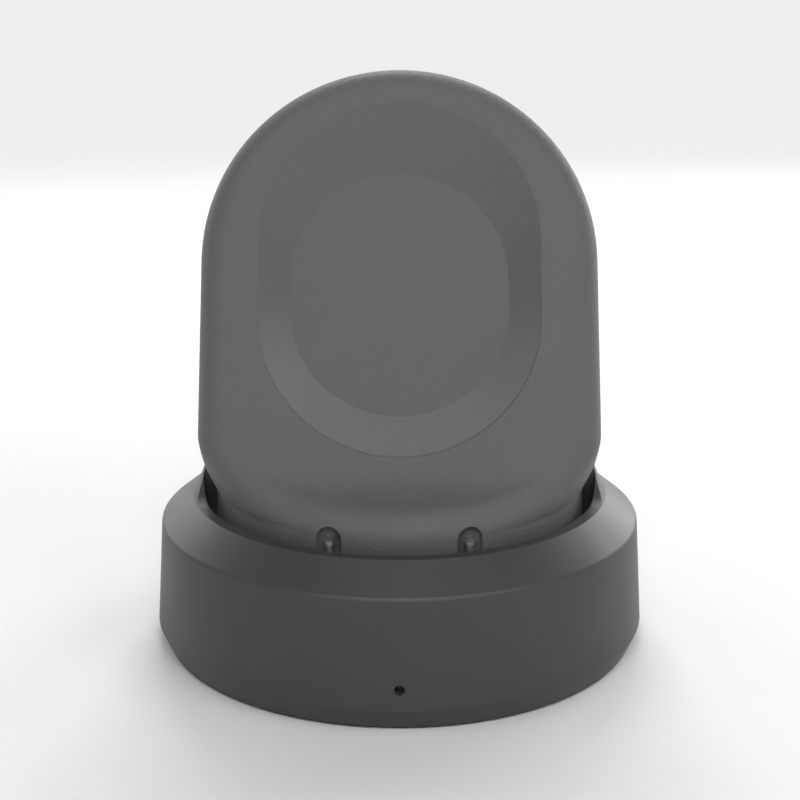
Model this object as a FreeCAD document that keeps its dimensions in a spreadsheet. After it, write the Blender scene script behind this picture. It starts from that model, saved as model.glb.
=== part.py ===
import FreeCAD, Part
import math
import os
import Sketcher

# A charging stand for a smartwatch: a round weighted base with a leaning seat for the watch.
# Millimetres. Z is up, the table is Z = 0, the stand's axis is X = Y = 0 and the seat faces -Y.

SIZES = [
    # Ring and foot
    ("ring_wall", 2.0),
    ("foot_gap", 0.4),
    ("foot_chamfer_in", 1.1),
    ("foot_chamfer_rise", 2.4),
    ("draft_reach", 0.85),
    ("crease_height", 15.7),
    ("bevel_reach", 3.95),
    ("bevel_rise", 3.1),
    ("lip_width", 1.3),
    ("trough_width", 1.6),
    ("crease_rounding", 0.6),
    ("trough_depth", 4.3),
    ("deck_thickness", 1.6),
    # Hood
    ("hood_half_width", 24.0),
    ("arch_rise", 23.35),
    ("collar_radius", 12.0),
    ("collar_reach", 1.95),
    ("hood_wall", 2.0),
    ("seam_gap", 0.12),
    # Seat
    ("face_lean", 24.0),
    ("seat_slope", 10.0),
    ("face_reach", 4.7),
    ("seat_corner_rise", 9.4),
    ("bend_radius", 6.5),
    ("rim_rounding", 3.2),
    ("wing_rounding", 6.0),
    ("cradle_wall", 2.0),
    ("parting_reach", 4.0),
    ("shoulder_rounding", 5.0),
    ("flare_drop", 3.9),
    ("flare_lean", 25.8),
    # Dished recess in the face
    ("recess_drop", 1.95),
    ("recess_depth", 2.5),
    ("recess_floor_wall", 1.2),
    ("recess_floor_straight", 3.5),
    ("recess_side", 3.75),
    ("recess_rim", 7.1),
    ("recess_mouth_rise", 6.35),
    ("recess_mouth_drop", 3.25),
    ("recess_backing", 0.8),
    # Niches and guide pins
    ("niche_spacing", 16.0),
    ("niche_width", 2.85),
    ("niche_cover", 2.8),
    ("niche_depth", 0.85),
    ("pin_radius", 0.45),
    ("pin_head_radius", 0.55),
    ("pin_head_height", 0.5),
    ("pin_headroom", 1.8),
    ("pin_inset", 0.35),
    # Bottom cover and rubber foot
    ("cover_clearance", 0.2),
    ("cover_thickness", 2.2),
    ("foot_groove_depth", 0.5),
    ("foot_margin", 0.75),
    ("foot_width", 4.6),
    ("foot_clearance", 0.1),
    ("foot_rounding", 0.2),
    ("cover_boss_radius", 2.3),
    ("post_height", 1.1),
    ("post_radius", 2.2),
    # Weight
    ("ballast_gap", 1.0),
    ("ballast_thickness", 3.0),
    # Main board
    ("board_gap", 2.0),
    ("board_thickness", 1.0),
    ("board_rear_gap", 1.45),
    ("board_rear_half_width", 6.5),
    ("board_front_half_width", 3.0),
    ("board_screw_inset", 3.5),
    ("board_screw_angle", 28.0),
    # Socket
    ("socket_recess", 0.3),
    ("socket_length", 5.6),
    ("socket_half_width", 3.75),
    ("socket_foot_half_width", 2.9),
    ("socket_bevel_height", 0.9),
    ("socket_height", 2.6),
    ("socket_wall", 0.3),
    ("socket_clearance", 0.2),
    ("plug_pocket_half_width", 5.6),
    ("plug_pocket_half_height", 3.0),
    ("plug_pocket_depth", 1.6),
    ("tongue_half_width", 1.9),
    ("tongue_thickness", 0.6),
    ("tongue_reach", 3.4),
    ("tongue_block", 1.4),
    ("contact_width", 0.3),
    ("contact_thickness", 0.1),
    ("contact_pitch", 0.65),
    ("contact_length", 2.8),
    # Status light
    ("light_hole_clearance", 0.05),
    ("light_height", 5.3),
    ("light_pipe_radius", 0.55),
    ("light_pipe_recess", 1.1),
    ("light_flange_radius", 1.2),
    ("light_flange_thickness", 0.7),
    ("led_width", 1.6),
    ("led_depth", 1.0),
    ("led_gap", 0.1),
    ("led_margin", 0.2),
    # Parts on the board
    ("chip_side", 5.0),
    ("chip_height", 0.9),
    ("inductor_radius", 2.6),
    ("inductor_height", 2.2),
    ("capacitor_length", 1.6),
    ("capacitor_width", 0.8),
    ("capacitor_pitch", 2.2),
    ("crystal_length", 3.2),
    ("crystal_width", 2.5),
    ("crystal_height", 0.8),
    ("connector_half_width", 3.4),
    ("connector_depth", 2.4),
    ("connector_height", 1.3),
    # Charging coil and its tray
    ("magnet_radius", 5.0),
    ("magnet_clearance", 0.2),
    ("coil_gap", 1.2),
    ("coil_margin", 0.15),
    ("coil_thickness", 0.9),
    ("shield_margin", 0.6),
    ("shield_thickness", 0.7),
    ("tray_clearance", 0.2),
    ("tray_wall", 1.2),
    ("tray_thickness", 1.5),
    ("tray_lug_half_width", 2.5),
    ("tray_lug_end", 2.4),
    ("tray_boss_radius", 2.2),
    ("tray_hole_depth", 2.4),
    # Flat cable
    ("cable_half_width", 2.6),
    ("cable_thickness", 0.2),
    ("cable_depth", 4.0),
    ("cable_drop", 7.3),
    ("cable_slot_margin", 0.6),
    # Screws
    ("screw_clearance", 0.2),
    ("screw_drive_share", 0.5),
    ("case_screw_radius", 1.0),
    ("case_screw_head_radius", 1.7),
    ("case_screw_head_height", 1.0),
    ("cover_screw_length", 6.5),
    ("cradle_screw_inset", 1.5),
    ("cradle_screw_angle", 38.7),
    ("cradle_screw_length", 10.5),
    ("cradle_boss_radius", 2.5),
    ("small_screw_radius", 0.8),
    ("small_screw_head_radius", 1.5),
    ("small_screw_head_height", 0.8),
    ("board_screw_length", 2.8),
    ("tray_screw_length", 3.8),
    # From the crease upwards: the lip, the deck, the seat, the arch and the recess
    ("lip_height", "=crease_height + bevel_rise"),
    ("deck_top", "=lip_height - trough_depth"),
    ("seat_corner_height", "=deck_top + seat_corner_rise"),
    ("flare_start_height", "=seat_corner_height - flare_drop"),
    ("niche_roof_height", "=seat_corner_height - niche_cover"),
    ("pin_top_height", "=niche_roof_height - pin_headroom"),
    ("arch_centre_height", "=seat_corner_height + arch_rise"),
    ("recess_centre_height", "=arch_centre_height - recess_drop"),
    ("cable_top_height", "=recess_centre_height - cable_drop"),
    # From the hood outwards: the lip, the ring and what fits inside the ring
    ("lip_radius", "=hood_half_width + collar_reach"),
    ("lip_inner_radius", "=lip_radius - lip_width"),
    ("skirt_radius", "=lip_inner_radius - trough_width"),
    ("crease_radius", "=lip_radius + bevel_reach"),
    ("base_radius", "=crease_radius + draft_reach"),
    ("cavity_radius", "=crease_radius - ring_wall"),
    ("foot_outer_radius", "=cavity_radius - cover_clearance - foot_margin"),
    ("foot_inner_radius", "=foot_outer_radius - foot_width"),
    ("cover_screw_circle", "=(foot_outer_radius + foot_inner_radius) / 2"),
    ("ballast_radius", "=cover_screw_circle - cover_boss_radius - ballast_gap"),
    ("board_radius", "=cover_screw_circle - cover_boss_radius - board_gap"),
    ("board_screw_circle", "=board_radius - board_screw_inset"),
    ("board_rear_reach", "=cavity_radius - board_rear_gap"),
    ("socket_mouth_y", "=base_radius - plug_pocket_depth - socket_recess"),
    ("pipe_back", "=cavity_radius - 4 * light_flange_thickness"),
    ("board_front_reach", "=pipe_back + led_margin"),
    ("light_hole_radius", "=light_pipe_radius + light_hole_clearance"),
    # From the hood inwards: the face, its recess and the coil behind it
    ("seat_corner_depth", "=face_reach / cos(face_lean) + (arch_centre_height - seat_corner_height)"
     " * tan(face_lean)"),
    ("recess_mouth_radius", "=hood_half_width - recess_rim"),
    ("recess_floor_radius", "=recess_mouth_radius - recess_side"),
    ("coil_inner_radius", "=magnet_radius + coil_gap"),
    ("coil_outer_radius", "=recess_floor_radius - coil_margin"),
    ("shield_radius", "=coil_outer_radius + shield_margin"),
    ("tray_rim_radius", "=shield_radius + tray_clearance"),
    ("tray_radius", "=tray_rim_radius + tray_wall"),
    ("tray_screw_offset", "=tray_radius + tray_boss_radius"),
    ("tray_lug_reach", "=tray_screw_offset + tray_lug_end"),
    ("cradle_screw_circle", "=skirt_radius - cradle_boss_radius - cradle_screw_inset"),
    ("pin_depth", "=sqrt((skirt_radius - pin_inset) ^ 2 - (niche_spacing / 2) ^ 2)"),
    ("niche_back", "=pin_depth - niche_depth"),
]

doc = FreeCAD.newDocument("watch_stand")
sheet = doc.addObject("Spreadsheet::Sheet", "Sizes")
for row, (alias, value) in enumerate(SIZES, start=1):
    sheet.set("A%d" % row, alias)
    sheet.set("B%d" % row, str(value))
    sheet.setAlias("B%d" % row, alias)
doc.recompute()

nodes = []


def cell(alias):
    """The expression that reads one size from the sheet."""
    return "Sizes." + alias


def number(expression):
    """The value of an expression now, for the first drawing of a sketch."""
    return float(sheet.evalExpression(expression))


def node(label, shape):
    """Name a finished piece, so that it is written out under that name."""
    shape.Label = label
    nodes.append(shape)
    return shape


# Sketches

def new_sketch(body, name, role, offset=None):
    plane = [item for item in body.Origin.OriginFeatures if item.Role == role][0]
    sketch = body.newObject("Sketcher::SketchObject", name)
    sketch.AttachmentSupport = (plane, [""])
    sketch.MapMode = "FlatFace"
    if offset is not None:
        sketch.setExpression("AttachmentOffset.Base.z", offset)
    return sketch


def pin_point(sketch, index, end, x, y):
    """Hold one end of an element at the place that two expressions give."""
    for kind, text, axis in (("DistanceX", x, -2), ("DistanceY", y, -1)):
        if text == "0":
            sketch.addConstraint(Sketcher.Constraint("PointOnObject", index, end, axis))
        else:
            datum = sketch.addConstraint(
                Sketcher.Constraint(kind, -1, 1, index, end, number(text)))
            sketch.setExpression("Constraints[%d]" % datum, text)


def add_outline(sketch, corners, arcs=None):
    """Draw a closed outline; arcs give {corner index: (radius, side of the centre)}."""
    arcs = arcs or {}
    points = [FreeCAD.Vector(number(x), number(y), 0) for x, y in corners]
    ends = []
    for i, start in enumerate(points):
        stop = points[(i + 1) % len(points)]
        if i not in arcs:
            index = sketch.addGeometry(Part.LineSegment(start, stop), False)
            ends.append((index, 1, 2))
            continue
        radius, side = number(arcs[i][0]), arcs[i][1]
        chord = stop - start
        rise = math.sqrt(max(radius ** 2 - (chord.Length / 2) ** 2, 0.0))
        left = FreeCAD.Vector(-chord.y, chord.x, 0).normalize()
        centre = (start + stop) * 0.5 + left * (side * rise)
        first, last = (start, stop) if side > 0 else (stop, start)
        angles = [math.atan2(p.y - centre.y, p.x - centre.x) for p in (first, last)]
        circle = Part.Circle(centre, FreeCAD.Vector(0, 0, 1), radius)
        index = sketch.addGeometry(Part.ArcOfCircle(circle, angles[0], angles[1]), False)
        ends.append((index, 1, 2) if side > 0 else (index, 2, 1))
        datum = sketch.addConstraint(Sketcher.Constraint("Radius", index, radius))
        sketch.setExpression("Constraints[%d]" % datum, arcs[i][0])
    for i, (x, y) in enumerate(corners):
        before, here = ends[i - 1], ends[i]
        sketch.addConstraint(
            Sketcher.Constraint("Coincident", before[0], before[2], here[0], here[1]))
        pin_point(sketch, here[0], here[1], x, y)


def turned(name, corners, arcs=None):
    """A solid turned round the Z axis from an outline of (radius, height) corners."""
    body = doc.addObject("PartDesign::Body", name)
    sketch = new_sketch(body, name + "_outline", "XZ_Plane")
    add_outline(sketch, corners, arcs)
    turn = body.newObject("PartDesign::Revolution", name + "_turn")
    turn.Profile = sketch
    turn.ReferenceAxis = (sketch, ["V_Axis"])
    turn.Angle = 360.0
    body.Tip = turn
    return body


def padded(name, role, length, outlines, offset=None):
    """A solid pushed out of one or more outlines; XZ_Plane pushes towards -Y."""
    body = doc.addObject("PartDesign::Body", name)
    sketch = new_sketch(body, name + "_outline", role, offset)
    for corners, arcs in outlines:
        add_outline(sketch, corners, arcs)
    pad = body.newObject("PartDesign::Pad", name + "_pad")
    pad.Profile = sketch
    pad.setExpression("Length", length)
    body.Tip = pad
    return body


# Primitives and booleans

def place(shape, x="0", y="0", z="0", angle=None):
    """Bind the place of a shape, and its turn about the X axis, to expressions."""
    if angle is not None:
        shape.Placement = FreeCAD.Placement(
            FreeCAD.Vector(), FreeCAD.Rotation(FreeCAD.Vector(1, 0, 0), number(angle)))
        shape.setExpression("Placement.Rotation.Angle", angle)
    for axis, text in (("x", x), ("y", y), ("z", z)):
        shape.setExpression("Placement.Base." + axis, text)
    return shape


def cylinder(name, radius, height, x="0", y="0", z="0", angle=None):
    shape = doc.addObject("Part::Cylinder", name)
    shape.setExpression("Radius", radius)
    shape.setExpression("Height", height)
    return place(shape, x, y, z, angle)


def box(name, length, width, height, x, y, z):
    """A block from its sizes along X, Y and Z and its lowest corner."""
    shape = doc.addObject("Part::Box", name)
    shape.setExpression("Length", length)
    shape.setExpression("Width", width)
    shape.setExpression("Height", height)
    return place(shape, x, y, z)


def joined(name, kind, shapes):
    shape = doc.addObject(kind, name)
    shape.Shapes = shapes
    return shape


def fuse(name, *shapes):
    return joined(name, "Part::MultiFuse", list(shapes))


def common(name, *shapes):
    return joined(name, "Part::MultiCommon", list(shapes))


def cut(name, base, *tools):
    shape = doc.addObject("Part::Cut", name)
    shape.Base = base
    shape.Tool = tools[0] if len(tools) == 1 else fuse(name + "_tools", *tools)
    return shape


def group(name, *shapes):
    shape = doc.addObject("Part::Compound", name)
    shape.Links = list(shapes)
    return shape


# Heights and planes that several pieces share
SPACE_TOP = "(Sizes.arch_centre_height + Sizes.hood_half_width + 4)"
DECK_UNDER = "(Sizes.deck_top - Sizes.deck_thickness)"
COVER_TOP = "(Sizes.foot_gap + Sizes.cover_thickness)"
GROOVE_ROOF = "(Sizes.foot_gap + Sizes.foot_groove_depth)"
BOARD_UNDER = "(%s + Sizes.post_height)" % COVER_TOP
BOARD_TOP = "(%s + Sizes.board_thickness)" % BOARD_UNDER
BALLAST_UNDER = "(%s - Sizes.ballast_thickness)" % DECK_UNDER
BACKING_DEPTH = "(Sizes.recess_depth + Sizes.recess_floor_wall)"
TRAY_FRONT = "(%s + Sizes.coil_thickness + Sizes.shield_thickness)" % BACKING_DEPTH
TRAY_BACK = "(%s + Sizes.tray_thickness)" % TRAY_FRONT
FRAME_TURN = "90 - Sizes.face_lean"


def face_y(z, behind="0"):
    """Y of the leaning face's plane at height z, or of a plane that far behind it."""
    return ("(-Sizes.seat_corner_depth + (%s) / cos(Sizes.face_lean)"
            " + ((%s) - Sizes.seat_corner_height) * tan(Sizes.face_lean))" % (behind, z))


def on_face(x, up, depth):
    """Place of a point given from the recess centre: across, up the face and behind it."""
    height = "Sizes.recess_centre_height"
    return (x,
            "%s + (%s) * sin(Sizes.face_lean) + (%s) * cos(Sizes.face_lean)"
            % (face_y(height), up, depth),
            "%s + (%s) * cos(Sizes.face_lean) - (%s) * sin(Sizes.face_lean)"
            % (height, up, depth))


# Shapes that the hood and the seat share

def arch_prism(name, inset):
    """The arch seen squarely from the face, pushed both ways from the arch's centre."""
    half = "(Sizes.hood_half_width - %s)" % inset
    foot = "-2 * Sizes.base_radius"
    corners = [("-" + half, foot), (half, foot), (half, "0"), ("0", half), ("-" + half, "0")]
    body = padded(name, "XY_Plane", "2 * Sizes.base_radius",
                  [(corners, {2: (half, 1), 3: (half, 1)})], "-Sizes.base_radius")
    return place(body, z=cell("arch_centre_height"), angle=FRAME_TURN)


def parting(bottom, back):
    """Where seat and hood meet: upright below, then leaning with the face to the top."""
    upright = "(%s - Sizes.parting_reach)" % back
    knee = ("(Sizes.arch_centre_height + (%s - (%s) / cos(Sizes.face_lean)) / tan(Sizes.face_lean))"
            % (upright, back))
    top = ("((%s - Sizes.arch_centre_height) * tan(Sizes.face_lean) + (%s) / cos(Sizes.face_lean))"
           % (SPACE_TOP, back))
    return [(upright, bottom), (upright, knee), (top, SPACE_TOP)]


def front_block(name, bottom, rounding=None):
    """Everything in front of the hood's front edge, from a height upwards."""
    far = "-2 * Sizes.base_radius"
    edge = parting(bottom, "Sizes.seam_gap")
    arcs = None
    if rounding is not None:
        upright = edge[0][0]
        edge[:1] = [("%s - %s" % (upright, rounding), bottom), (upright, "%s + %s" % (bottom, rounding))]
        arcs = {1: (rounding, 1)}
    corners = [(far, bottom)] + edge + [(far, SPACE_TOP)]
    return padded(name, "YZ_Plane", "2 * Sizes.base_radius", [(corners, arcs)],
                  "-Sizes.base_radius")


def seat_prism(name, inset, back):
    """The side profile of the seat: leaning face, bend and shelf, inset from its skin."""
    lean, slope = "Sizes.face_lean", "Sizes.seat_slope"
    corner_y = ("(-Sizes.seat_corner_depth + (%s) * (cos(%s) - sin(%s)) / cos(%s + %s))"
                % (inset, slope, lean, lean, slope))
    corner_z = ("(Sizes.seat_corner_height - (%s) * (cos(%s) - sin(%s)) / cos(%s + %s))"
                % (inset, lean, slope, lean, slope))
    radius = "(Sizes.bend_radius + (%s))" % inset
    run = "(%s * tan((90 - %s - %s) / 2))" % (radius, lean, slope)
    reach = "(Sizes.base_radius * 0.6)"
    shelf_end = "%s - %s * cos(%s)" % (corner_y, reach, slope)
    corners = [
        (face_y(SPACE_TOP, inset), SPACE_TOP),
        ("%s + %s * sin(%s)" % (corner_y, run, lean), "%s + %s * cos(%s)" % (corner_z, run, lean)),
        ("%s - %s * cos(%s)" % (corner_y, run, slope), "%s - %s * sin(%s)" % (corner_z, run, slope)),
        (shelf_end, "%s - %s * sin(%s)" % (corner_z, reach, slope)),
        (shelf_end, cell("deck_top")),
    ] + parting(cell("deck_top"), back)
    return padded(name, "YZ_Plane", "2 * Sizes.base_radius", [(corners, {1: (radius, -1)})],
                  "-Sizes.base_radius")


def skirt_limit(name, inset):
    """The round skirt that rises out of the ring and flares into the seat's wings."""
    low = "(Sizes.skirt_radius - %s)" % inset
    high = "(%s + (%s - Sizes.flare_start_height) * tan(Sizes.flare_lean))" % (low, SPACE_TOP)
    return turned(name, [
        ("0", cell("deck_top")), (low, cell("deck_top")), (low, cell("flare_start_height")),
        (high, SPACE_TOP), ("0", SPACE_TOP)])


def slot_corners(radius, rise, drop):
    """An upright slot with round ends, as an outline of eight corners and four arcs."""
    top, bottom = "(%s)" % rise, "(-(%s))" % drop
    corners = [(radius, bottom), (radius, top), ("0", top + " + " + radius), ("-" + radius, top),
               ("-" + radius, bottom), ("0", bottom + " - " + radius)]
    return corners, {1: (radius, 1), 2: (radius, 1), 4: (radius, 1), 5: (radius, 1)}


def recess_body(name):
    """The dish in the face: a flat floor with sloping walls that open towards the watch."""
    body = doc.addObject("PartDesign::Body", name)
    floor = new_sketch(body, name + "_floor", "XY_Plane")
    half = "(Sizes.recess_floor_straight / 2)"
    add_outline(floor, *slot_corners("Sizes.recess_floor_radius", half, half))
    mouth = new_sketch(body, name + "_mouth", "XY_Plane", "2 * Sizes.recess_depth")
    radius = "(2 * Sizes.recess_mouth_radius - Sizes.recess_floor_radius)"
    rise = "(2 * Sizes.recess_mouth_rise - %s)" % half
    drop = "(2 * Sizes.recess_mouth_drop - %s)" % half
    add_outline(mouth, *slot_corners(radius, rise, drop))
    loft = body.newObject("PartDesign::AdditiveLoft", name + "_loft")
    loft.Profile = floor
    loft.Sections = [mouth]
    loft.Ruled = True
    body.Tip = loft
    return place(body, *on_face("0", "0", "Sizes.recess_depth"), FRAME_TURN)


# Ring and hood: one moulding
hull = turned("hull", [
    ("0", cell("foot_gap")),
    ("Sizes.base_radius - Sizes.foot_chamfer_in", cell("foot_gap")),
    (cell("base_radius"), "Sizes.foot_gap + Sizes.foot_chamfer_rise"),
    (cell("crease_radius"), cell("crease_height")),
    (cell("lip_radius"), cell("lip_height")),
    (cell("hood_half_width"), "Sizes.lip_height + sqrt(Sizes.collar_radius ^ 2 - (Sizes.collar_radius"
     " - Sizes.collar_reach) ^ 2)"),
    (cell("hood_half_width"), cell("arch_centre_height")),
    ("0", "Sizes.arch_centre_height + Sizes.hood_half_width"),
], {4: (cell("collar_radius"), -1), 6: (cell("hood_half_width"), 1)})


def hood_sides(name, inset, front):
    """The straight sides that lead from the round rear of the hood to the seat."""
    half = "(Sizes.hood_half_width - %s)" % inset
    return box(name, "2 * " + half, front, "Sizes.arch_centre_height - Sizes.deck_top",
               "-" + half, "-(%s)" % front, cell("deck_top"))


hood_space = fuse("hood_space", turned("hood_space_turned", [
    ("0", cell("deck_top")),
    ("Sizes.hood_half_width - Sizes.hood_wall", cell("deck_top")),
    ("Sizes.hood_half_width - Sizes.hood_wall", cell("arch_centre_height")),
    ("0", "Sizes.arch_centre_height + Sizes.hood_half_width - Sizes.hood_wall"),
], {2: ("Sizes.hood_half_width - Sizes.hood_wall", 1)}),
    hood_sides("hood_space_sides", cell("hood_wall"), "Sizes.parting_reach + 1"))
trough = common("trough", cylinder("trough_bore", cell("lip_inner_radius"), SPACE_TOP,
                                   z=cell("deck_top")),
                front_block("trough_front", cell("deck_top")))
base_space = turned("base_space", [
    ("0", "0"), (cell("cavity_radius"), "0"), (cell("cavity_radius"), cell("deck_top")),
    ("Sizes.lip_inner_radius + Sizes.ring_wall", "Sizes.deck_top + Sizes.ring_wall / 3"),
    ("Sizes.lip_inner_radius + Sizes.ring_wall", DECK_UNDER), ("0", DECK_UNDER)])

cover_bosses, cover_pilots, cover_screw_places = [], [], []
for count, turn in enumerate((40, 140, 220, 320), start=1):
    x = "Sizes.cover_screw_circle * cos(%d)" % turn
    y = "Sizes.cover_screw_circle * sin(%d)" % turn
    cover_screw_places.append((x, y))
    cover_bosses.append(cylinder("cover_boss_%d" % count, cell("cover_boss_radius"),
                                 "%s - %s" % (DECK_UNDER, COVER_TOP), x, y, COVER_TOP))
    cover_pilots.append(cylinder("cover_pilot_%d" % count, cell("case_screw_radius"),
                                 cell("cover_screw_length"), x, y, COVER_TOP))

cradle_screw_places = [("%sSizes.cradle_screw_circle * sin(Sizes.cradle_screw_angle)" % sign,
                        "-Sizes.cradle_screw_circle * cos(Sizes.cradle_screw_angle)") for sign in ("-", "")]
pin_places = [("%sSizes.niche_spacing / 2" % sign, "-Sizes.pin_depth") for sign in ("-", "")]


def screw_holes(name, places, radius, bottom, height):
    return [cylinder("%s_%d" % (name, count), radius, height, x, y, bottom)
            for count, (x, y) in enumerate(places, start=1)]


LOOSE_HOLE = "Sizes.case_screw_radius + Sizes.screw_clearance"
deck_holes = screw_holes("deck_hole", cradle_screw_places, LOOSE_HOLE, DECK_UNDER,
                         cell("deck_thickness"))
pin_holes = screw_holes("pin_hole", pin_places, cell("pin_radius"), DECK_UNDER,
                        cell("deck_thickness"))
light_hole = cylinder("light_hole", cell("light_hole_radius"), "2 * Sizes.ring_wall + Sizes.draft_reach",
                      y="-Sizes.cavity_radius + Sizes.ring_wall / 2", z=cell("light_height"), angle="90")


def cable_slot(name, bottom, height):
    """The slot that the flat cable drops through."""
    half = "(Sizes.cable_half_width + Sizes.cable_slot_margin)"
    return box(name, "2 * " + half, "2 * Sizes.cable_slot_margin + Sizes.cable_thickness", height,
               "-" + half, "-Sizes.cable_depth - Sizes.cable_slot_margin", bottom)


SOCKET_MIDDLE = "(%s + Sizes.socket_height / 2)" % BOARD_TOP
socket_window = box(
    "socket_window", "2 * (Sizes.socket_half_width + Sizes.socket_clearance)", "4 * Sizes.ring_wall",
    "Sizes.socket_height + 2 * Sizes.socket_clearance",
    "-Sizes.socket_half_width - Sizes.socket_clearance", "Sizes.cavity_radius - Sizes.ring_wall",
    "%s - Sizes.socket_clearance" % BOARD_TOP)
plug_pocket = box(
    "plug_pocket", "2 * Sizes.plug_pocket_half_width", "2 * Sizes.ring_wall",
    "2 * Sizes.plug_pocket_half_height", "-Sizes.plug_pocket_half_width",
    "Sizes.base_radius - Sizes.plug_pocket_depth", "%s - Sizes.plug_pocket_half_height" % SOCKET_MIDDLE)

moulding = cut("moulding", fuse("moulding_full", hull, hood_sides("sides", "0", cell("parting_reach"))),
               front_block("front_cut", cell("lip_height"), cell("shoulder_rounding")),
               trough, hood_space, base_space)
housing = cut("housing", fuse("moulding_bossed", moulding, *cover_bosses), *cover_pilots,
              *deck_holes, *pin_holes, light_hole, socket_window, plug_pocket,
              cable_slot("deck_slot", DECK_UNDER, cell("deck_thickness")))

# Cradle: the seat that the watch leans on
cradle_block = common("cradle_block", seat_prism("seat_side", "0", "0"),
                      arch_prism("seat_arch", "0"), skirt_limit("seat_skirt", "0"))
doc.recompute()


def on_seat_skin(point):
    """Whether a point lies on the leaning face, the bend or the shelf."""
    lean, slope = math.radians(number(cell("face_lean"))), math.radians(number(cell("seat_slope")))
    bend = number(cell("bend_radius"))
    corner = (-number(cell("seat_corner_depth")), number(cell("seat_corner_height")))
    off_face = (corner[0] - point.y) * math.cos(lean) + (point.z - corner[1]) * math.sin(lean)
    off_shelf = (corner[0] - point.y) * math.sin(slope) + (point.z - corner[1]) * math.cos(slope)
    blend = math.tan((math.pi / 2 - lean - slope) / 2) * bend
    reach = blend / math.cos((math.pi / 2 - lean - slope) / 2)
    if min(abs(off_face), abs(off_shelf)) < 0.001:
        return True
    from_corner = math.hypot(point.y - corner[0], point.z - corner[1])
    if from_corner > reach * 1.2:
        return False
    middle = (corner[0] + blend * math.sin(lean) - bend * math.cos(lean),
              corner[1] + blend * math.cos(lean) + bend * math.sin(lean))
    return abs(math.hypot(point.y - middle[0], point.z - middle[1]) - bend) < 0.001


def rim_edges(shape):
    """Edges that bound the seat's skin, without the straight joins across it."""
    found = []
    for index, edge in enumerate(shape.Edges, start=1):
        samples = edge.discretize(5)
        along_x = max(p.x for p in samples) - min(p.x for p in samples) > 0.99 * edge.Length
        if all(on_seat_skin(p) for p in samples) and not along_x:
            found.append(index)
    return found


def wing_edges(shape):
    """Edges where the flared skirt runs out on the straight sides of the arch."""
    half, low = number(cell("hood_half_width")), number(cell("flare_start_height"))
    rate = math.tan(math.radians(number(cell("flare_lean"))))
    found = []
    for index, edge in enumerate(shape.Edges, start=1):
        samples = edge.discretize(5)
        on_side = all(abs(abs(p.x) - half) < 0.001 for p in samples)
        on_flare = all(abs(math.hypot(p.x, p.y) - number(cell("skirt_radius")) - (p.z - low) * rate)
                       < 0.01 for p in samples)
        if on_side and on_flare:
            found.append(index)
    return found


def rounded(name, base, edges, radius):
    shape = doc.addObject("Part::Fillet", name)
    shape.Base = base
    shape.Edges = [(index, radius, radius) for index in edges]
    return shape


cradle_wings = rounded("cradle_wings", cradle_block, wing_edges(cradle_block.Shape),
                       number(cell("wing_rounding")))
doc.recompute()
cradle_rounded = rounded("cradle_rounded", cradle_wings, rim_edges(cradle_wings.Shape),
                         number(cell("rim_rounding")))
cradle_space = common("cradle_space",
                      seat_prism("space_side", cell("cradle_wall"), "1"),
                      arch_prism("space_arch", cell("cradle_wall")),
                      skirt_limit("space_skirt", cell("cradle_wall")))
backing_half = "Sizes.recess_mouth_radius + Sizes.recess_backing"
backing = padded("recess_backing", "XY_Plane", "%s - Sizes.cradle_wall / 2" % BACKING_DEPTH,
                 [slot_corners("(%s)" % backing_half, "Sizes.recess_mouth_rise",
                               "Sizes.recess_mouth_drop")])
place(backing, *on_face("0", "0", BACKING_DEPTH), FRAME_TURN)

tray_screw_places = [("0", "%sSizes.tray_screw_offset" % sign) for sign in ("-", "")]
tray_bosses = [cylinder("tray_boss_%d" % count, cell("tray_boss_radius"),
                        "%s - %s + Sizes.cradle_wall / 4" % (TRAY_FRONT, BACKING_DEPTH),
                        *on_face(x, up, TRAY_FRONT), FRAME_TURN)
               for count, (x, up) in enumerate(tray_screw_places, start=1)]
tray_pilots = [cylinder("tray_pilot_%d" % count, cell("small_screw_radius"), cell("tray_hole_depth"),
                        *on_face(x, up, TRAY_FRONT), FRAME_TURN)
               for count, (x, up) in enumerate(tray_screw_places, start=1)]
boss_height = "Sizes.seat_corner_height - Sizes.cradle_wall / 2 - Sizes.deck_top"
cradle_bosses = screw_holes("cradle_boss", cradle_screw_places, cell("cradle_boss_radius"),
                            cell("deck_top"), boss_height)
screw_reach = "Sizes.cradle_screw_length - Sizes.ballast_thickness - Sizes.deck_thickness"
cradle_pilots = screw_holes("cradle_pilot", cradle_screw_places, cell("case_screw_radius"),
                            cell("deck_top"), screw_reach)


def niche(name, x):
    """A round-topped niche in the skirt that shows a guide pin."""
    half = "Sizes.niche_width / 2"
    depth = "Sizes.base_radius - Sizes.niche_back"
    spring = "(Sizes.niche_roof_height - %s)" % half
    slot = box(name + "_slot", cell("niche_width"), depth, "%s - Sizes.deck_top" % spring,
               "%s - %s" % (x, half), "-Sizes.base_radius", cell("deck_top"))
    roof = cylinder(name + "_roof", half, depth, x, "-Sizes.niche_back", spring, "90")
    return fuse(name, slot, roof)


cradle = cut("cradle_cut",
             fuse("cradle_full", cut("cradle_shell", cradle_rounded, cradle_space), backing,
                  *cradle_bosses, *tray_bosses),
             recess_body("recess"), *tray_pilots, *cradle_pilots,
             *[niche("niche_%d" % count, x) for count, (x, y) in enumerate(pin_places, start=1)])
node("cradle", cradle)


def guide_pin(name, x, y):
    """A turned pin with a small head, pressed into the deck of the ring."""
    shank_end = "(Sizes.pin_top_height - Sizes.pin_head_height)"
    shank = cylinder(name + "_shank", cell("pin_radius"), "%s - %s" % (shank_end, DECK_UNDER),
                     x, y, DECK_UNDER)
    head = cylinder(name + "_head", cell("pin_head_radius"), cell("pin_head_height"), x, y, shank_end)
    return fuse(name + "_pin", shank, head)


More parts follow.
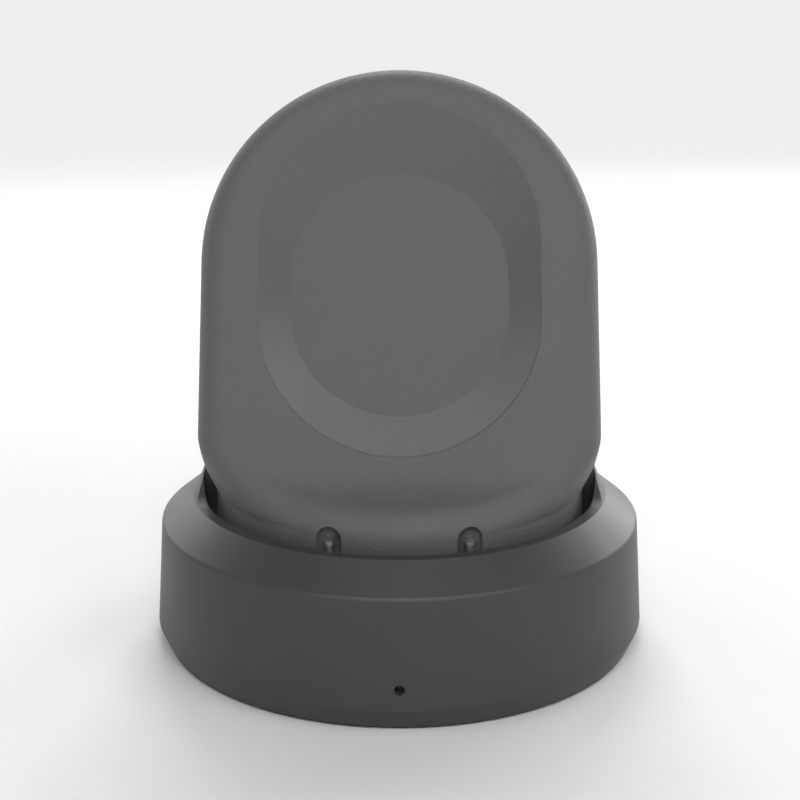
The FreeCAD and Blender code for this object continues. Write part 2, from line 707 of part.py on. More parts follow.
for side, (x, y) in zip(("left", "right"), pin_places):
    node("guide_pin_" + side, guide_pin("guide_" + side, x, y))

# Bottom cover and rubber foot
BOARD_SCREW_PLACES = [("%sSizes.board_screw_circle * cos(Sizes.board_screw_angle)" % sign,
                       "-Sizes.board_screw_circle * sin(Sizes.board_screw_angle)") for sign in ("-", "")]
REAR_POST_PLACES = [("%sSizes.board_screw_circle * sin(45)" % sign, "Sizes.board_screw_circle * cos(45)")
                    for sign in ("-", "")]
posts = screw_holes("board_post", BOARD_SCREW_PLACES + REAR_POST_PLACES, cell("post_radius"),
                    COVER_TOP, cell("post_height"))
groove = cut("foot_groove",
             cylinder("groove_outer", "Sizes.foot_outer_radius + Sizes.foot_clearance",
                      cell("foot_groove_depth"), z=cell("foot_gap")),
             cylinder("groove_inner", "Sizes.foot_inner_radius - Sizes.foot_clearance",
                      cell("foot_groove_depth"), z=cell("foot_gap")))
cover_blank = fuse("cover_blank", cylinder("cover_disc", "Sizes.cavity_radius - Sizes.cover_clearance",
                                           cell("cover_thickness"), z=cell("foot_gap")), *posts)
counterbores = screw_holes("counterbore", cover_screw_places,
                           "Sizes.case_screw_head_radius + Sizes.screw_clearance", GROOVE_ROOF,
                           cell("case_screw_head_height"))
cover_holes = screw_holes("cover_hole", cover_screw_places, LOOSE_HOLE, GROOVE_ROOF,
                          cell("cover_thickness"))
BOARD_PILOT = "(Sizes.board_screw_length - Sizes.board_thickness)"
post_pilots = screw_holes("post_pilot", BOARD_SCREW_PLACES, cell("small_screw_radius"),
                          "%s - %s" % (BOARD_UNDER, BOARD_PILOT), BOARD_PILOT)
node("bottom_cover", cut("cover_cut", cover_blank, groove, *counterbores, *cover_holes, *post_pilots))

foot_top = GROOVE_ROOF
node("foot_ring", turned("foot", [
    (cell("foot_inner_radius"), foot_top),
    (cell("foot_inner_radius"), cell("foot_rounding")),
    ("Sizes.foot_inner_radius + Sizes.foot_rounding", "0"),
    ("Sizes.foot_outer_radius - Sizes.foot_rounding", "0"),
    (cell("foot_outer_radius"), cell("foot_rounding")),
    (cell("foot_outer_radius"), foot_top)],
    {1: (cell("foot_rounding"), 1), 3: (cell("foot_rounding"), 1)}))

# Steel weight under the deck
node("ballast_plate", cut(
    "ballast", cylinder("ballast_disc", cell("ballast_radius"), cell("ballast_thickness"), z=BALLAST_UNDER),
    *screw_holes("ballast_hole", cradle_screw_places, LOOSE_HOLE, BALLAST_UNDER, cell("ballast_thickness")),
    cable_slot("ballast_slot", BALLAST_UNDER, cell("ballast_thickness"))))

# Main board, with a tab to the socket and one to the light
board_blank = fuse(
    "board_blank", cylinder("board_disc", cell("board_radius"), cell("board_thickness"), z=BOARD_UNDER),
    box("board_rear_tab", "2 * Sizes.board_rear_half_width", cell("board_rear_reach"),
        cell("board_thickness"), "-Sizes.board_rear_half_width", "0", BOARD_UNDER),
    box("board_front_tab", "2 * Sizes.board_front_half_width", cell("board_front_reach"),
        cell("board_thickness"), "-Sizes.board_front_half_width", "-Sizes.board_front_reach", BOARD_UNDER))
node("main_board", cut("board", board_blank, *screw_holes(
    "board_hole", BOARD_SCREW_PLACES, "Sizes.small_screw_radius + Sizes.screw_clearance / 2",
    BOARD_UNDER, cell("board_thickness"))))


# Power socket: a folded shell round a tongue with five contacts
def socket_corners(inset):
    """The socket's outline, bevelled at its foot; the inset is the sheet's thickness."""
    half = "(Sizes.socket_half_width - %s)" % inset
    foot = "(Sizes.socket_foot_half_width - %s / 2)" % inset
    low = "(%s + %s)" % (BOARD_TOP, inset)
    bevel = "(%s + Sizes.socket_bevel_height + %s / 2)" % (BOARD_TOP, inset)
    high = "(%s + Sizes.socket_height - %s)" % (BOARD_TOP, inset)
    return [("-" + foot, low), (foot, low), (half, bevel), (half, high), ("-" + half, high),
            ("-" + half, bevel)]


node("usb_shell", padded("socket_shell", "XZ_Plane", cell("socket_length"), [
    (socket_corners("0"), None), (socket_corners("Sizes.socket_wall"), None)], "-Sizes.socket_mouth_y"))
socket_back = "(Sizes.socket_mouth_y - Sizes.socket_length)"
tongue_root = "(%s + Sizes.tongue_block)" % socket_back
tongue_block = padded("tongue_block_body", "XZ_Plane", cell("tongue_block"),
                      [(socket_corners("Sizes.socket_wall"), None)], "-" + tongue_root)
tongue_plate = box("tongue_plate", "2 * Sizes.tongue_half_width", cell("tongue_reach"),
                   cell("tongue_thickness"), "-Sizes.tongue_half_width", tongue_root,
                   "%s - Sizes.tongue_thickness / 2" % SOCKET_MIDDLE)
node("usb_tongue", fuse("tongue", tongue_block, tongue_plate))
contacts = [box("contact_%d" % (count + 3), cell("contact_width"), cell("contact_length"),
                cell("contact_thickness"), "%d * Sizes.contact_pitch - Sizes.contact_width / 2" % count,
                tongue_root, "%s + Sizes.tongue_thickness / 2" % SOCKET_MIDDLE)
            for count in (-2, -1, 0, 1, 2)]
node("usb_contacts", group("contacts", *contacts))

# Status light: a side-firing lamp on the board and a clear pipe to the hole in the ring
pipe_tip = "(Sizes.base_radius - Sizes.light_pipe_recess)"
node("light_pipe", fuse(
    "pipe", cylinder("pipe_rod", cell("light_pipe_radius"), pipe_tip + " - Sizes.pipe_back",
                     y="-Sizes.pipe_back", z=cell("light_height"), angle="90"),
    cylinder("pipe_flange", cell("light_flange_radius"), cell("light_flange_thickness"),
             y="-Sizes.cavity_radius + Sizes.light_flange_thickness + Sizes.led_gap",
             z=cell("light_height"), angle="90")))
node("status_led", box("led", cell("led_width"), cell("led_depth"),
                       "2 * (Sizes.light_height - %s)" % BOARD_TOP, "-Sizes.led_width / 2",
                       "-Sizes.pipe_back + Sizes.led_gap", BOARD_TOP))

# Parts soldered on the board
node("charger_chip", box("chip", cell("chip_side"), cell("chip_side"), cell("chip_height"),
                         "-Sizes.board_radius / 2 - Sizes.chip_side / 2", "0", BOARD_TOP))
node("inductor", cylinder("choke", cell("inductor_radius"), cell("inductor_height"),
                          "Sizes.board_radius / 2", "Sizes.inductor_radius", BOARD_TOP))
node("capacitors", group("capacitor_row", *[
    box("capacitor_%d" % (count + 2), cell("capacitor_width"), cell("capacitor_length"),
        cell("capacitor_width"), "%d * Sizes.capacitor_pitch - Sizes.capacitor_width / 2" % count,
        "-Sizes.board_radius / 2 - Sizes.capacitor_length", BOARD_TOP) for count in (-1, 0, 1)]))
node("crystal", box("resonator", cell("crystal_length"), cell("crystal_width"), cell("crystal_height"),
                    "-Sizes.board_radius / 2 - Sizes.crystal_length / 2",
                    "-Sizes.chip_side - Sizes.crystal_width", BOARD_TOP))
node("flex_connector", box("connector", "2 * Sizes.connector_half_width", cell("connector_depth"),
                           cell("connector_height"), "-Sizes.connector_half_width",
                           "-Sizes.cable_depth + Sizes.cable_thickness / 2 - Sizes.connector_depth / 2",
                           BOARD_TOP))


# Coil unit behind the recess: magnet, winding, shield and the tray that holds them
def face_disc(name, radius, thickness, back):
    """A disc parallel to the face whose rear lies that far behind the face's plane."""
    return cylinder(name, radius, thickness, *on_face("0", "0", back), FRAME_TURN)


COIL_BACK = "(%s + Sizes.coil_thickness)" % BACKING_DEPTH
node("holding_magnet", face_disc("magnet", cell("magnet_radius"), "%s - %s" % (TRAY_FRONT, BACKING_DEPTH),
                                 TRAY_FRONT))
node("charging_coil", cut(
    "coil", face_disc("coil_disc", cell("coil_outer_radius"), cell("coil_thickness"), COIL_BACK),
    face_disc("coil_bore", cell("coil_inner_radius"), cell("coil_thickness"), COIL_BACK)))
node("ferrite_shield", cut(
    "shield", face_disc("shield_disc", cell("shield_radius"), cell("shield_thickness"), TRAY_FRONT),
    face_disc("shield_bore", "Sizes.magnet_radius + Sizes.magnet_clearance", cell("shield_thickness"),
              TRAY_FRONT)))
lug = padded("tray_lugs", "XY_Plane", cell("tray_thickness"), [([
    ("-Sizes.tray_lug_half_width", "-Sizes.tray_lug_reach"),
    ("Sizes.tray_lug_half_width", "-Sizes.tray_lug_reach"),
    ("Sizes.tray_lug_half_width", "Sizes.tray_lug_reach"),
    ("-Sizes.tray_lug_half_width", "Sizes.tray_lug_reach")], None)])
place(lug, *on_face("0", "0", TRAY_BACK), FRAME_TURN)
tray_rim = cut("tray_rim",
               face_disc("tray_rim_disc", cell("tray_radius"), "%s - %s" % (TRAY_FRONT, BACKING_DEPTH),
                         TRAY_FRONT),
               face_disc("tray_rim_bore", cell("tray_rim_radius"),
                         "%s - %s" % (TRAY_FRONT, BACKING_DEPTH), TRAY_FRONT))
tray_holes = [cylinder("tray_hole_%d" % count, "Sizes.small_screw_radius + Sizes.screw_clearance / 2",
                       cell("tray_thickness"), *on_face(x, up, TRAY_BACK), FRAME_TURN)
              for count, (x, up) in enumerate(tray_screw_places, start=1)]
node("coil_tray", cut("tray", fuse("tray_blank", face_disc(
    "tray_disc", cell("tray_radius"), cell("tray_thickness"), TRAY_BACK), lug, tray_rim), *tray_holes))

# Flat cable from the tray's back, down through the deck to the board
cable_low = "(%s + Sizes.connector_height)" % BOARD_TOP
cable_back = "(%s + Sizes.cable_thickness)" % TRAY_BACK


def cable_knee(y, behind):
    """Height at which a vertical side of the cable meets the slope of the tray."""
    return ("Sizes.seat_corner_height + (%s + Sizes.seat_corner_depth - (%s) / cos(Sizes.face_lean))"
            " / tan(Sizes.face_lean)" % (y, behind))


cable_rear = "-Sizes.cable_depth + Sizes.cable_thickness"
node("coil_flex", padded("flex", "YZ_Plane", "2 * Sizes.cable_half_width", [([
    ("-Sizes.cable_depth", cable_low), (cable_rear, cable_low),
    (cable_rear, cable_knee(cable_rear, cable_back)),
    (face_y(cell("cable_top_height"), cable_back), cell("cable_top_height")),
    (face_y(cell("cable_top_height"), TRAY_BACK), cell("cable_top_height")),
    ("-Sizes.cable_depth", cable_knee("-Sizes.cable_depth", TRAY_BACK))], None)], "-Sizes.cable_half_width"))


# Screws
def screws(label, kind, length, seats):
    """Pan-head screws with a six-sided drive; each seat is a place and a turn about X."""
    made = []
    for count, seat in enumerate(seats, start=1):
        name = "%s_%d" % (label, count)
        head_height = cell(kind + "_head_height")
        shank = cylinder(name + "_shank", cell(kind + "_radius"), length)
        head = cylinder(name + "_head", cell(kind + "_head_radius"), head_height, z="-" + head_height)
        drive = doc.addObject("Part::Prism", name + "_drive")
        drive.Polygon = 6
        drive.setExpression("Circumradius", "%s * Sizes.screw_drive_share" % cell(kind + "_head_radius"))
        drive.setExpression("Height", head_height + " / 2")
        place(drive, z="-" + head_height)
        made.append(place(cut(name, fuse(name + "_blank", head, shank), drive), *seat))
    node(label, group(label + "_set", *made))


screws("cover_screws", "case_screw", cell("cover_screw_length"),
       [(x, y, "%s + Sizes.case_screw_head_height" % GROOVE_ROOF) for x, y in cover_screw_places])
screws("cradle_screws", "case_screw", cell("cradle_screw_length"),
       [(x, y, BALLAST_UNDER) for x, y in cradle_screw_places])
screws("board_screws", "small_screw", cell("board_screw_length"),
       [(x, y, BOARD_TOP, "180") for x, y in BOARD_SCREW_PLACES])
screws("tray_screws", "small_screw", cell("tray_screw_length"),
       [(*on_face(x, up, TRAY_BACK), FRAME_TURN) for x, up in tray_screw_places])

doc.recompute()


# Soft edge of the moulding: the crease of the ring
def round_edges(shape, radius, height):
    """Full or part circles about the Z axis at one radius and height."""
    found = []
    for index, edge in enumerate(shape.Edges, start=1):
        on_circle = all(abs(math.hypot(p.x, p.y) - radius) < 0.001 and abs(p.z - height) < 0.001
                        for p in edge.discretize(5))
        if on_circle and edge.Length > radius:
            found.append(index)
    return found


creased = rounded("housing_creased", housing,
                  round_edges(housing.Shape, number(cell("crease_radius")), number(cell("crease_height"))),
                  number(cell("crease_rounding")))
node("outer_housing", creased)
doc.recompute()

# Check every object, then write each piece
for item in doc.Objects:
    if any(word in item.State for word in ("Invalid", "Error")):
        raise RuntimeError("%s could not be built" % item.Name)
for item in nodes:
    if item.Shape.isNull() or not item.Shape.isValid() or not item.Shape.Solids:
        raise RuntimeError("%s has no sound shape" % item.Label)

os.makedirs("parts", exist_ok=True)
for item in nodes:
    item.Shape.exportStep("parts/%s.step" % item.Label)
    print("%-16s %2d solids  %9.2f mm3" % (item.Label, len(item.Shape.Solids), item.Shape.Volume))
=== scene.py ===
import math

import bmesh
import bpy
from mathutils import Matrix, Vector

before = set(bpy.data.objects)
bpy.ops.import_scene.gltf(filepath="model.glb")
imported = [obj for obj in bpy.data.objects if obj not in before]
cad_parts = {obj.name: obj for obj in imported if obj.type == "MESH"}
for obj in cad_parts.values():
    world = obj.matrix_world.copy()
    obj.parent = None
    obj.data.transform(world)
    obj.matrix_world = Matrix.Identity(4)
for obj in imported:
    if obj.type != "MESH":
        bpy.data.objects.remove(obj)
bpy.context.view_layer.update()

# Housing: ring, deck, collar and round rear hood are one moulding of charcoal plastic.
# Its mould was spark-eroded, which leaves a fine satin grain. It carries every other piece.
MM = 0.001


class Field:
    """A shader output; sums, differences and products with it add Math nodes."""

    def __init__(self, finish, socket):
        self.finish = finish
        self.socket = socket

    def maths(self, operation, *others):
        """Add a Math node of the given kind."""
        terms = dict(enumerate((self, *others)))
        return self.finish.node("ShaderNodeMath", {"operation": operation}, terms)

    def __add__(self, other):
        return self.maths("ADD", other)

    __radd__ = __add__

    def __sub__(self, other):
        return self.maths("SUBTRACT", other)

    def __rsub__(self, other):
        return self * -1.0 + other

    def __mul__(self, other):
        return self.maths("MULTIPLY", other)

    __rmul__ = __mul__

    def ramp(self, low, high, out_low=0.0, out_high=1.0):
        """Carry a range of this value smoothly to another range."""
        return self.finish.node("ShaderNodeMapRange", {"interpolation_type": "SMOOTHSTEP"},
                                {0: self, 1: low, 2: high, 3: out_low, 4: out_high})


class Finish:
    """One material: a Principled shader with object-space textures in front of it."""

    def __init__(self, name, rough, **sockets):
        self.material = bpy.data.materials.new(name)
        self.material.use_nodes = True
        self.tree = self.material.node_tree
        self.shader = self.tree.nodes["Principled BSDF"]
        self.shader.inputs["Roughness"].default_value = rough
        for socket, value in sockets.items():
            self.shader.inputs[socket.replace("_", " ")].default_value = value
        self.place = self.node("ShaderNodeTexCoord", {}, {}, "Object")

    def node(self, kind, settings, sockets, output=0):
        """Add a node: its settings first, then a value or a link for each socket."""
        made = self.tree.nodes.new(kind)
        for name, value in settings.items():
            setattr(made, name, value)
        for name, value in sockets.items():
            if isinstance(value, Field):
                self.tree.links.new(value.socket, made.inputs[name])
            else:
                made.inputs[name].default_value = value
        return Field(self, made.outputs[output])

    def noise(self, grain, detail=2.0, stretch=(1, 1, 1), distortion=0.0):
        """Noise with grains of about the given size in mm, from 0 to 1."""
        spread = self.node("ShaderNodeMapping", {}, {
            "Vector": self.place, "Scale": [s / (grain * MM) for s in stretch]})
        return self.node("ShaderNodeTexNoise", {}, {
            "Vector": spread, "Scale": 1.0, "Detail": detail, "Distortion": distortion}, "Fac")

    def axis(self, letter):
        """A coordinate of the object, in mm."""
        return self.node("ShaderNodeSeparateXYZ", {}, {0: self.place}, letter) * (1 / MM)

    def blend(self, factor, low, high):
        """A blend of two colours."""
        return self.node("ShaderNodeMix", {"data_type": "RGBA"}, {
            "Factor": factor, "A": (*low, 1.0), "B": (*high, 1.0)}, "Result")

    def vary(self, socket, value):
        """Let a value drive one of the shader's sockets."""
        self.tree.links.new(value.socket, self.shader.inputs[socket])

    def bump(self, height, depth):
        """Raise the surface by a texture, its full height given in mm."""
        self.vary("Normal", self.node("ShaderNodeBump", {}, {
            "Distance": depth * MM, "Height": height}))

    def dress(self, *names):
        """Give solids this finish in place of their packed colour."""
        for name in names:
            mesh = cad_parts[name].data
            mesh.materials.clear()
            mesh.materials.append(self.material)


charcoal = Finish("housing_charcoal", rough=0.5)
spark = charcoal.noise(0.16, detail=3.0)
cloud = charcoal.noise(14.0, detail=4.0)
charcoal.vary("Base Color", charcoal.blend(
    spark * 0.5 + cloud * 0.5, (0.034, 0.034, 0.035), (0.043, 0.043, 0.044)))
charcoal.vary("Roughness", (spark * 0.4 + cloud * 0.6).ramp(0.3, 0.7, 0.45, 0.55))
charcoal.bump(spark, 0.010)
charcoal.dress("outer_housing")

# Guide pins: two turned pins of bright steel that show in the niches of the skirt.
# They are pressed into the deck from above and centre the seat.
turned = Finish("pin_steel", rough=0.45, Metallic=1.0)
turning = turned.noise(0.08, stretch=(0.1, 0.1, 1))
turned.vary("Base Color", turned.blend(turning, (0.72, 0.72, 0.71), (0.84, 0.84, 0.83)))
turned.vary("Roughness", turning.ramp(0.2, 0.8, 0.40, 0.52))
turned.bump(turning, 0.002)
turned.dress("guide_pin_left", "guide_pin_right")

# Ballast: a blanked plate of zinc-plated steel that keeps the stand from tipping.
# It lies against the deck's underside and is held by the two cradle screws.
zinc = Finish("zinc_steel", rough=0.4, Metallic=1.0)
brushed = zinc.noise(0.3, detail=3.0, stretch=(1, 0.05, 1))
zinc.vary("Base Color", zinc.blend(brushed, (0.42, 0.42, 0.41), (0.56, 0.56, 0.55)))
zinc.vary("Roughness", brushed.ramp(0.2, 0.8, 0.32, 0.48))
zinc.bump(brushed, 0.006)
zinc.dress("ballast_plate")

# Main board: glass-fibre laminate under green mask, with faint copper tracks below it.
# Two screws hold it on the bottom cover's posts.
mask = Finish("board_green", rough=0.35, Coat_Weight=0.4, Coat_Roughness=0.15)
crossing = (mask.axis("X") * 2.6).maths("SINE") * (mask.axis("Y") * 1.9).maths("SINE")
tracks = crossing.ramp(0.55, 0.7)
weave = mask.noise(0.5)
mask.vary("Base Color", mask.blend(
    tracks * 0.6 + weave * 0.3, (0.012, 0.075, 0.030), (0.035, 0.16, 0.065)))
mask.vary("Roughness", weave.ramp(0.3, 0.7, 0.30, 0.42))
mask.bump(tracks, 0.02)
mask.dress("main_board")

# Tinned steel: the socket's folded shell and the crystal's drawn can.
# Both are soldered on the board.
tinned = Finish("tin_plate", rough=0.28, Metallic=1.0)
rolled = tinned.noise(0.4, detail=3.0, stretch=(1, 0.08, 1))
tinned.vary("Base Color", tinned.blend(rolled, (0.55, 0.55, 0.54), (0.68, 0.68, 0.67)))
tinned.vary("Roughness", rolled.ramp(0.2, 0.8, 0.20, 0.36))
tinned.bump(rolled, 0.003)
tinned.dress("usb_shell", "crystal")

# Black mouldings: the socket's tongue, the flat cable's connector and the charger chip.
# They are heat-resistant plastic, on the board's upper side.
insulator = Finish("insulator_black", rough=0.45)
fine = insulator.noise(0.15)
insulator.vary("Base Color", insulator.blend(fine, (0.012, 0.012, 0.013), (0.024, 0.024, 0.026)))
insulator.vary("Roughness", fine.ramp(0.3, 0.7, 0.38, 0.54))
insulator.bump(fine, 0.006)
insulator.dress("usb_tongue", "flex_connector", "charger_chip")

# Contacts: five gilt springs on the socket's tongue.
# They are pressed from strip and rubbed by the plug.
gilt = Finish("contact_gold", rough=0.2, Metallic=1.0)
rubbed = gilt.noise(0.3, detail=3.0)
gilt.vary("Base Color", gilt.blend(rubbed, (0.72, 0.50, 0.20), (0.90, 0.68, 0.32)))
gilt.vary("Roughness", rubbed.ramp(0.2, 0.8, 0.15, 0.30))
gilt.dress("usb_contacts")

# Ceramic capacitors: small fired blocks, tan in colour.
# They are soldered beside the chip.
ceramic = Finish("ceramic_tan", rough=0.4)
fired = ceramic.noise(0.2, detail=3.0)
ceramic.vary("Base Color", ceramic.blend(fired, (0.36, 0.25, 0.15), (0.50, 0.37, 0.24)))
ceramic.vary("Roughness", fired.ramp(0.3, 0.7, 0.32, 0.48))
ceramic.dress("capacitors")

# Status light: a milky lamp on the board's front tab.
# It shines into the light pipe behind the small hole in the ring.
milky = Finish("lens_milky", rough=0.4)
milky.vary("Base Color", milky.blend(milky.noise(0.4), (0.62, 0.62, 0.60), (0.74, 0.74, 0.72)))
milky.dress("status_led")

# Light pipe: a smoked acrylic rod, pushed into the ring's wall from inside.
# It ends just short of the small hole's mouth.
smoked = Finish("pipe_smoked", rough=0.2, Transmission_Weight=0.5, IOR=1.49)
smoked.vary("Base Color", smoked.blend(
    smoked.noise(0.5), (0.020, 0.020, 0.021), (0.035, 0.035, 0.037)))
smoked.dress("light_pipe")

# Charging coil: enamelled copper strands wound flat behind the recess.
# The tray presses it against the back of the recess's floor.
copper = Finish("coil_copper", rough=0.3, Metallic=1.0, Coat_Weight=0.3, Coat_Roughness=0.1)
strand = copper.noise(0.25)
copper.vary("Base Color", copper.blend(strand, (0.50, 0.22, 0.10), (0.72, 0.36, 0.18)))
copper.vary("Roughness", strand.ramp(0.3, 0.7, 0.24, 0.40))
copper.bump(strand, 0.02)
copper.dress("charging_coil")

# Holding magnet: a nickel-plated disc in the middle of the coil.
# It pulls the watch into the recess.
nickel = Finish("magnet_nickel", rough=0.2, Metallic=1.0)
pitting = nickel.noise(0.6, detail=4.0)
nickel.vary("Base Color", nickel.blend(pitting, (0.60, 0.60, 0.58), (0.72, 0.72, 0.70)))
nickel.vary("Roughness", pitting.ramp(0.2, 0.8, 0.14, 0.30))
nickel.dress("holding_magnet")

# Ferrite: the shield plate behind the coil and the core of the board's inductor.
# Both are pressed and sintered, dull dark grey.
ferrite = Finish("ferrite_grey", rough=0.55, Specular_IOR_Level=0.6)
sinter = ferrite.noise(0.35, detail=4.0)
ferrite.vary("Base Color", ferrite.blend(sinter, (0.045, 0.045, 0.048), (0.085, 0.085, 0.09)))
ferrite.vary("Roughness", sinter.ramp(0.3, 0.7, 0.46, 0.64))
ferrite.bump(sinter, 0.02)
ferrite.dress("ferrite_shield", "inductor")

# Flat cable: amber film with the coil's leads inside it.
# It goes down through slots in the deck and the ballast to its connector.
amber = Finish("film_amber", rough=0.25, Coat_Weight=0.5, Coat_Roughness=0.1)
tint = amber.noise(2.0, detail=3.0)
amber.vary("Base Color", amber.blend(tint, (0.40, 0.17, 0.03), (0.55, 0.27, 0.06)))
amber.vary("Roughness", tint.ramp(0.3, 0.7, 0.18, 0.32))
amber.dress("coil_flex")

# Seat: the arched cradle, moulded in plastic, sprayed with a soft-touch coat and screwed to the deck.
# Its grain is fine and leathery, and rubbed smooth on the recess's lower wall,
# where a watch slides in; that wall's colour is also lightened towards its bottom, a painted
# highlight for the light falling on it.
# Lengths are in mm from the middle of the recess.
SEAT_LEAN = math.radians(24.0)
RECESS_Y, RECESS_Z = -6.0131, 45.3
RECESS_RISE, RECESS_DROP = 6.35, 3.25
RECESS_MOUTH, RECESS_DEPTH = 16.9, 2.5
HIGHLIGHT_AND_WEAR_BOTTOM, HIGHLIGHT_AND_WEAR_TOP = -14.0, 4.0
GRAIN_SIZE, PORE_SIZE, GRAIN_DEPTH = 0.42, 0.3, 0.13

coat = Finish("seat_soft_touch", rough=0.68, Sheen_Weight=0.08, Specular_IOR_Level=0.4)
ahead = coat.axis("Y") - RECESS_Y
above = coat.axis("Z") - RECESS_Z
depth = ahead * math.cos(SEAT_LEAN) - above * math.sin(SEAT_LEAN)
climb = ahead * math.sin(SEAT_LEAN) + above * math.cos(SEAT_LEAN)
past_top = (climb - RECESS_RISE).maths("MAXIMUM", 0.0)
past_bottom = (-RECESS_DROP - climb).maths("MAXIMUM", 0.0)
past_end = past_top + past_bottom
aside = coat.axis("X")
from_middle = (aside * aside + past_end * past_end).maths("SQRT")
below_face = depth.ramp(0.02, 0.1)
above_floor = depth.ramp(RECESS_DEPTH - 0.1, RECESS_DEPTH - 0.02, 1.0, 0.0)
inside_mouth = from_middle.ramp(RECESS_MOUTH + 0.2, RECESS_MOUTH + 0.6, 1.0, 0.0)
# Painted highlight: this mask lightens the colour of the recess's wall towards its bottom, standing
# for light falling on it; it also lowers the roughness and flattens the grain there.
painted_highlight_and_rubbed_wall = climb.ramp(HIGHLIGHT_AND_WEAR_BOTTOM, HIGHLIGHT_AND_WEAR_TOP, 1.0, 0.0) * below_face * above_floor * inside_mouth

grain = coat.noise(GRAIN_SIZE, detail=3.0, distortion=0.6)
pore = coat.node("ShaderNodeTexVoronoi", {}, {
    "Vector": coat.place, "Scale": 1 / (PORE_SIZE * MM)}, "Distance")
# The mask's share of the tone is a painted highlight on the recess's lower wall.
tone = grain * 0.3 + coat.noise(9.0) * 0.15 + painted_highlight_and_rubbed_wall * 0.55
coat.vary("Base Color", coat.blend(tone, (0.090, 0.090, 0.091), (0.146, 0.146, 0.147)))
coat.vary("Roughness", grain.ramp(0.3, 0.7, 0.60, 0.70) * (1.0 - painted_highlight_and_rubbed_wall) + painted_highlight_and_rubbed_wall * 0.38)
coat.bump((grain * 0.7 + pore * 0.3) * (1.0 - painted_highlight_and_rubbed_wall * 0.9), GRAIN_DEPTH)
coat.dress("cradle")

# Screws: thread-forming, black-zinc steel, in four sets for tray, seat, board and cover.
# The foot ring hides the cover's four.
plated = Finish("screw_steel", rough=0.35, Metallic=1.0)
plating = plated.noise(0.2, detail=3.0)
plated.vary("Base Color", plated.blend(plating, (0.36, 0.36, 0.37), (0.50, 0.50, 0.51)))
plated.vary("Roughness", plating.ramp(0.2, 0.8, 0.28, 0.44))
plated.bump(plating, 0.004)
plated.dress("cover_screws", "cradle_screws", "board_screws", "tray_screws")

# Bottom cover and coil tray: plain black mouldings with a coarser spark grain.
# The cover closes the ring from below; the tray holds coil and shield behind the recess.
jet = Finish("cover_black", rough=0.5)
coarse = jet.noise(0.25, detail=3.0)
jet.vary("Base Color", jet.blend(
    coarse * 0.5 + jet.noise(8.0) * 0.5, (0.022, 0.022, 0.023), (0.038, 0.038, 0.040)))
jet.vary("Roughness", coarse.ramp(0.3, 0.7, 0.44, 0.58))
jet.bump(coarse, 0.012)
jet.dress("bottom_cover", "coil_tray")

# Foot: a flat ring of matt rubber, slightly dusty.
# It is bonded in the cover's groove and the stand rests on it.
rubber = Finish("foot_rubber", rough=0.85, Specular_IOR_Level=0.3)
dust = rubber.noise(3.0, detail=5.0)
rubber.vary("Base Color", rubber.blend(
    dust.ramp(0.45, 0.75), (0.014, 0.014, 0.014), (0.030, 0.029, 0.028)))
rubber.vary("Roughness", dust.ramp(0.3, 0.8, 0.76, 0.92))
rubber.bump(rubber.noise(0.2), 0.02)
rubber.dress("foot_ring")

# Backdrop: a pale paper floor that curves up all round.
# The eye and reflections see it as a plain wall, bright in front and behind, greyer at the sides.
FLOOR_RADIUS = 0.9
SWEEP_RADIUS = 0.35
WALL_HEIGHT = 0.9
WALL_SEEN_FROM, WALL_SEEN_FULLY = 220.0, 600.0

sweep = bmesh.new()
bmesh.ops.create_circle(sweep, cap_ends=True, cap_tris=True, radius=FLOOR_RADIUS, segments=96)
corner = [edge for edge in sweep.edges if edge.is_boundary]
raised = bmesh.ops.extrude_edge_only(sweep, edges=corner)["geom"]
bmesh.ops.translate(sweep, vec=(0.0, 0.0, WALL_HEIGHT),
                    verts=[item for item in raised if isinstance(item, bmesh.types.BMVert)])
bmesh.ops.bevel(sweep, geom=corner, offset=SWEEP_RADIUS, offset_type="OFFSET", segments=12,
                profile=0.5, affect="EDGES", material=-1)
bmesh.ops.recalc_face_normals(sweep, faces=sweep.faces)
for face in sweep.faces:
    face.smooth = abs(face.normal.z) < 0.999
backdrop_mesh = bpy.data.meshes.new("backdrop")
sweep.to_mesh(backdrop_mesh)
sweep.free()
backdrop = bpy.data.objects.new("backdrop", backdrop_mesh)
bpy.context.scene.collection.objects.link(backdrop)

paper = Finish("paper", rough=0.8, Specular_IOR_Level=0.2)
paper.vary("Base Color", paper.blend(
    paper.noise(60.0, detail=4.0), (0.74, 0.74, 0.74), (0.77, 0.77, 0.77)))
along, across = paper.axis("Y"), paper.axis("X")
reach = (along * along + across * across).maths("SQRT")
facing = (along * along).maths("DIVIDE", reach * reach + 1.0)
shown = paper.blend(facing.ramp(0.1, 0.8), (0.38, 0.38, 0.38), (0.86, 0.86, 0.86))
glow = paper.node("ShaderNodeEmission", {}, {"Color": shown, "Strength": 1.0})
camera_ray = paper.node("ShaderNodeLightPath", {}, {}, "Is Camera Ray")
glossy_ray = paper.node("ShaderNodeLightPath", {}, {}, "Is Glossy Ray")
transmission_ray = paper.node("ShaderNodeLightPath", {}, {}, "Is Transmission Ray")
seen = camera_ray.maths("MAXIMUM", glossy_ray).maths("MAXIMUM", transmission_ray)
lit_paper = Field(paper, paper.shader.outputs[0])
surface = paper.node("ShaderNodeMixShader", {}, {
    "Fac": reach.ramp(WALL_SEEN_FROM, WALL_SEEN_FULLY) * seen, 1: lit_paper, 2: glow})
paper.tree.links.new(surface.socket, paper.tree.nodes["Material Output"].inputs["Surface"])
backdrop_mesh.materials.append(paper.material)

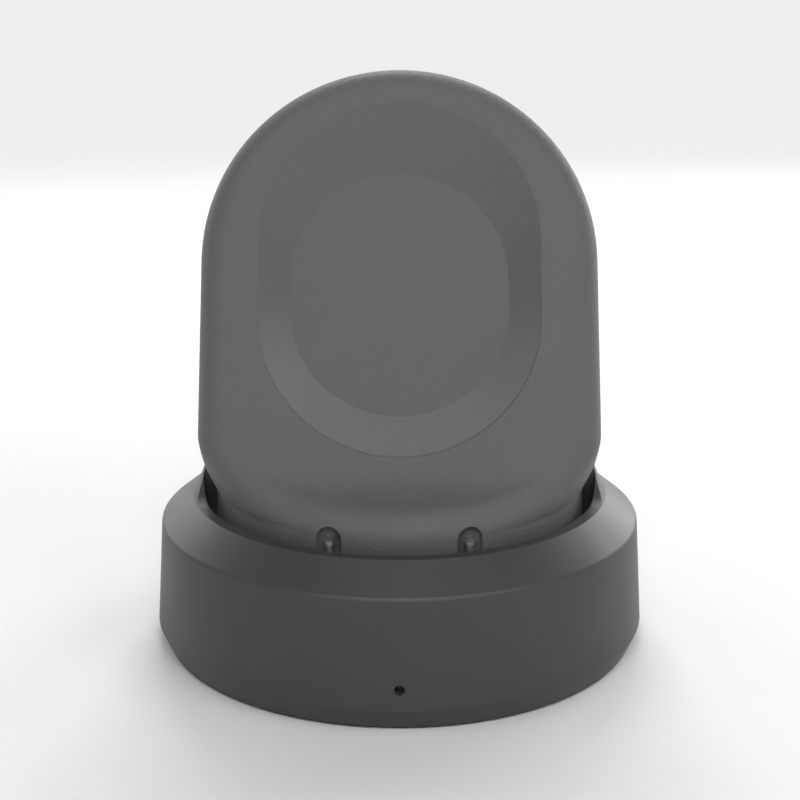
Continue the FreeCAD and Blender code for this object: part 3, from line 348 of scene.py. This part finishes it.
# Light: a dim white room with soft panels that face the stand.
# Azimuth 0 is in front and 90 on the right; widths are in metres and powers in watts.
ROOM_STRENGTH = 0.05
PANEL_DISTANCE = 0.6
PANEL_HEIGHT = 0.25
MIDDLE = Vector((0.0, 0.0, 0.035))
PANELS = [
    ("front_high", 0, 44, 0.3, 1.60),
    ("overhead", 0, 80, 0.9, 0.50),
    ("front_right", 50, 35, 0.3, 0.65),
    ("rear_left", -135, 15, 0.3, 0.78),
    ("rear_right", 135, 15, 0.3, 1.60),
    ("behind_above", 180, 45, 0.3, 2.40),
]

world = bpy.data.worlds.new("room")
bpy.context.scene.world = world
world.use_nodes = True
background = world.node_tree.nodes["Background"]
background.inputs["Color"].default_value = (1.0, 1.0, 1.0, 1.0)
background.inputs["Strength"].default_value = ROOM_STRENGTH
for name, azimuth, elevation, width, power in PANELS:
    light = bpy.data.lights.new(name, "AREA")
    light.shape = "RECTANGLE"
    light.size = width
    light.size_y = PANEL_HEIGHT
    light.energy = power
    turn, rise = math.radians(azimuth), math.radians(elevation)
    level = math.cos(rise)
    away = Vector((math.sin(turn) * level, -math.cos(turn) * level, math.sin(rise)))
    lamp = bpy.data.objects.new(name, light)
    lamp.location = MIDDLE + PANEL_DISTANCE * away
    lamp.rotation_mode = "QUATERNION"
    lamp.rotation_quaternion = (-away).to_track_quat("-Z", "Y")
    bpy.context.scene.collection.objects.link(lamp)

# Camera: fitted to the photograph's ring, arch and recess.
# It looks down on the stand by about 15 degrees from 196 mm in front of it.
CAMERA_RISE = 0.2598
CAMERA_DISTANCE = 0.1957
AIM_HEIGHT = 0.033
FOCAL_PIXELS = 1571.5
FRAME_PIXELS = 800.0
SENSOR = 36.0
SHIFT_X, SHIFT_Y = 0.0006, -0.0295

camera_data = bpy.data.cameras.new("camera")
camera_data.sensor_width = SENSOR
camera_data.lens = FOCAL_PIXELS * SENSOR / FRAME_PIXELS
camera_data.shift_x = SHIFT_X
camera_data.shift_y = SHIFT_Y
camera_data.clip_start = 0.01
camera_data.clip_end = 20.0
camera = bpy.data.objects.new("camera", camera_data)
camera.location = (0.0, -CAMERA_DISTANCE * math.cos(CAMERA_RISE),
                   AIM_HEIGHT + CAMERA_DISTANCE * math.sin(CAMERA_RISE))
camera.rotation_euler = (math.pi / 2 - CAMERA_RISE, 0.0, 0.0)
bpy.context.scene.collection.objects.link(camera)
bpy.context.scene.camera = camera
bpy.context.scene.view_settings.view_transform = "Standard"
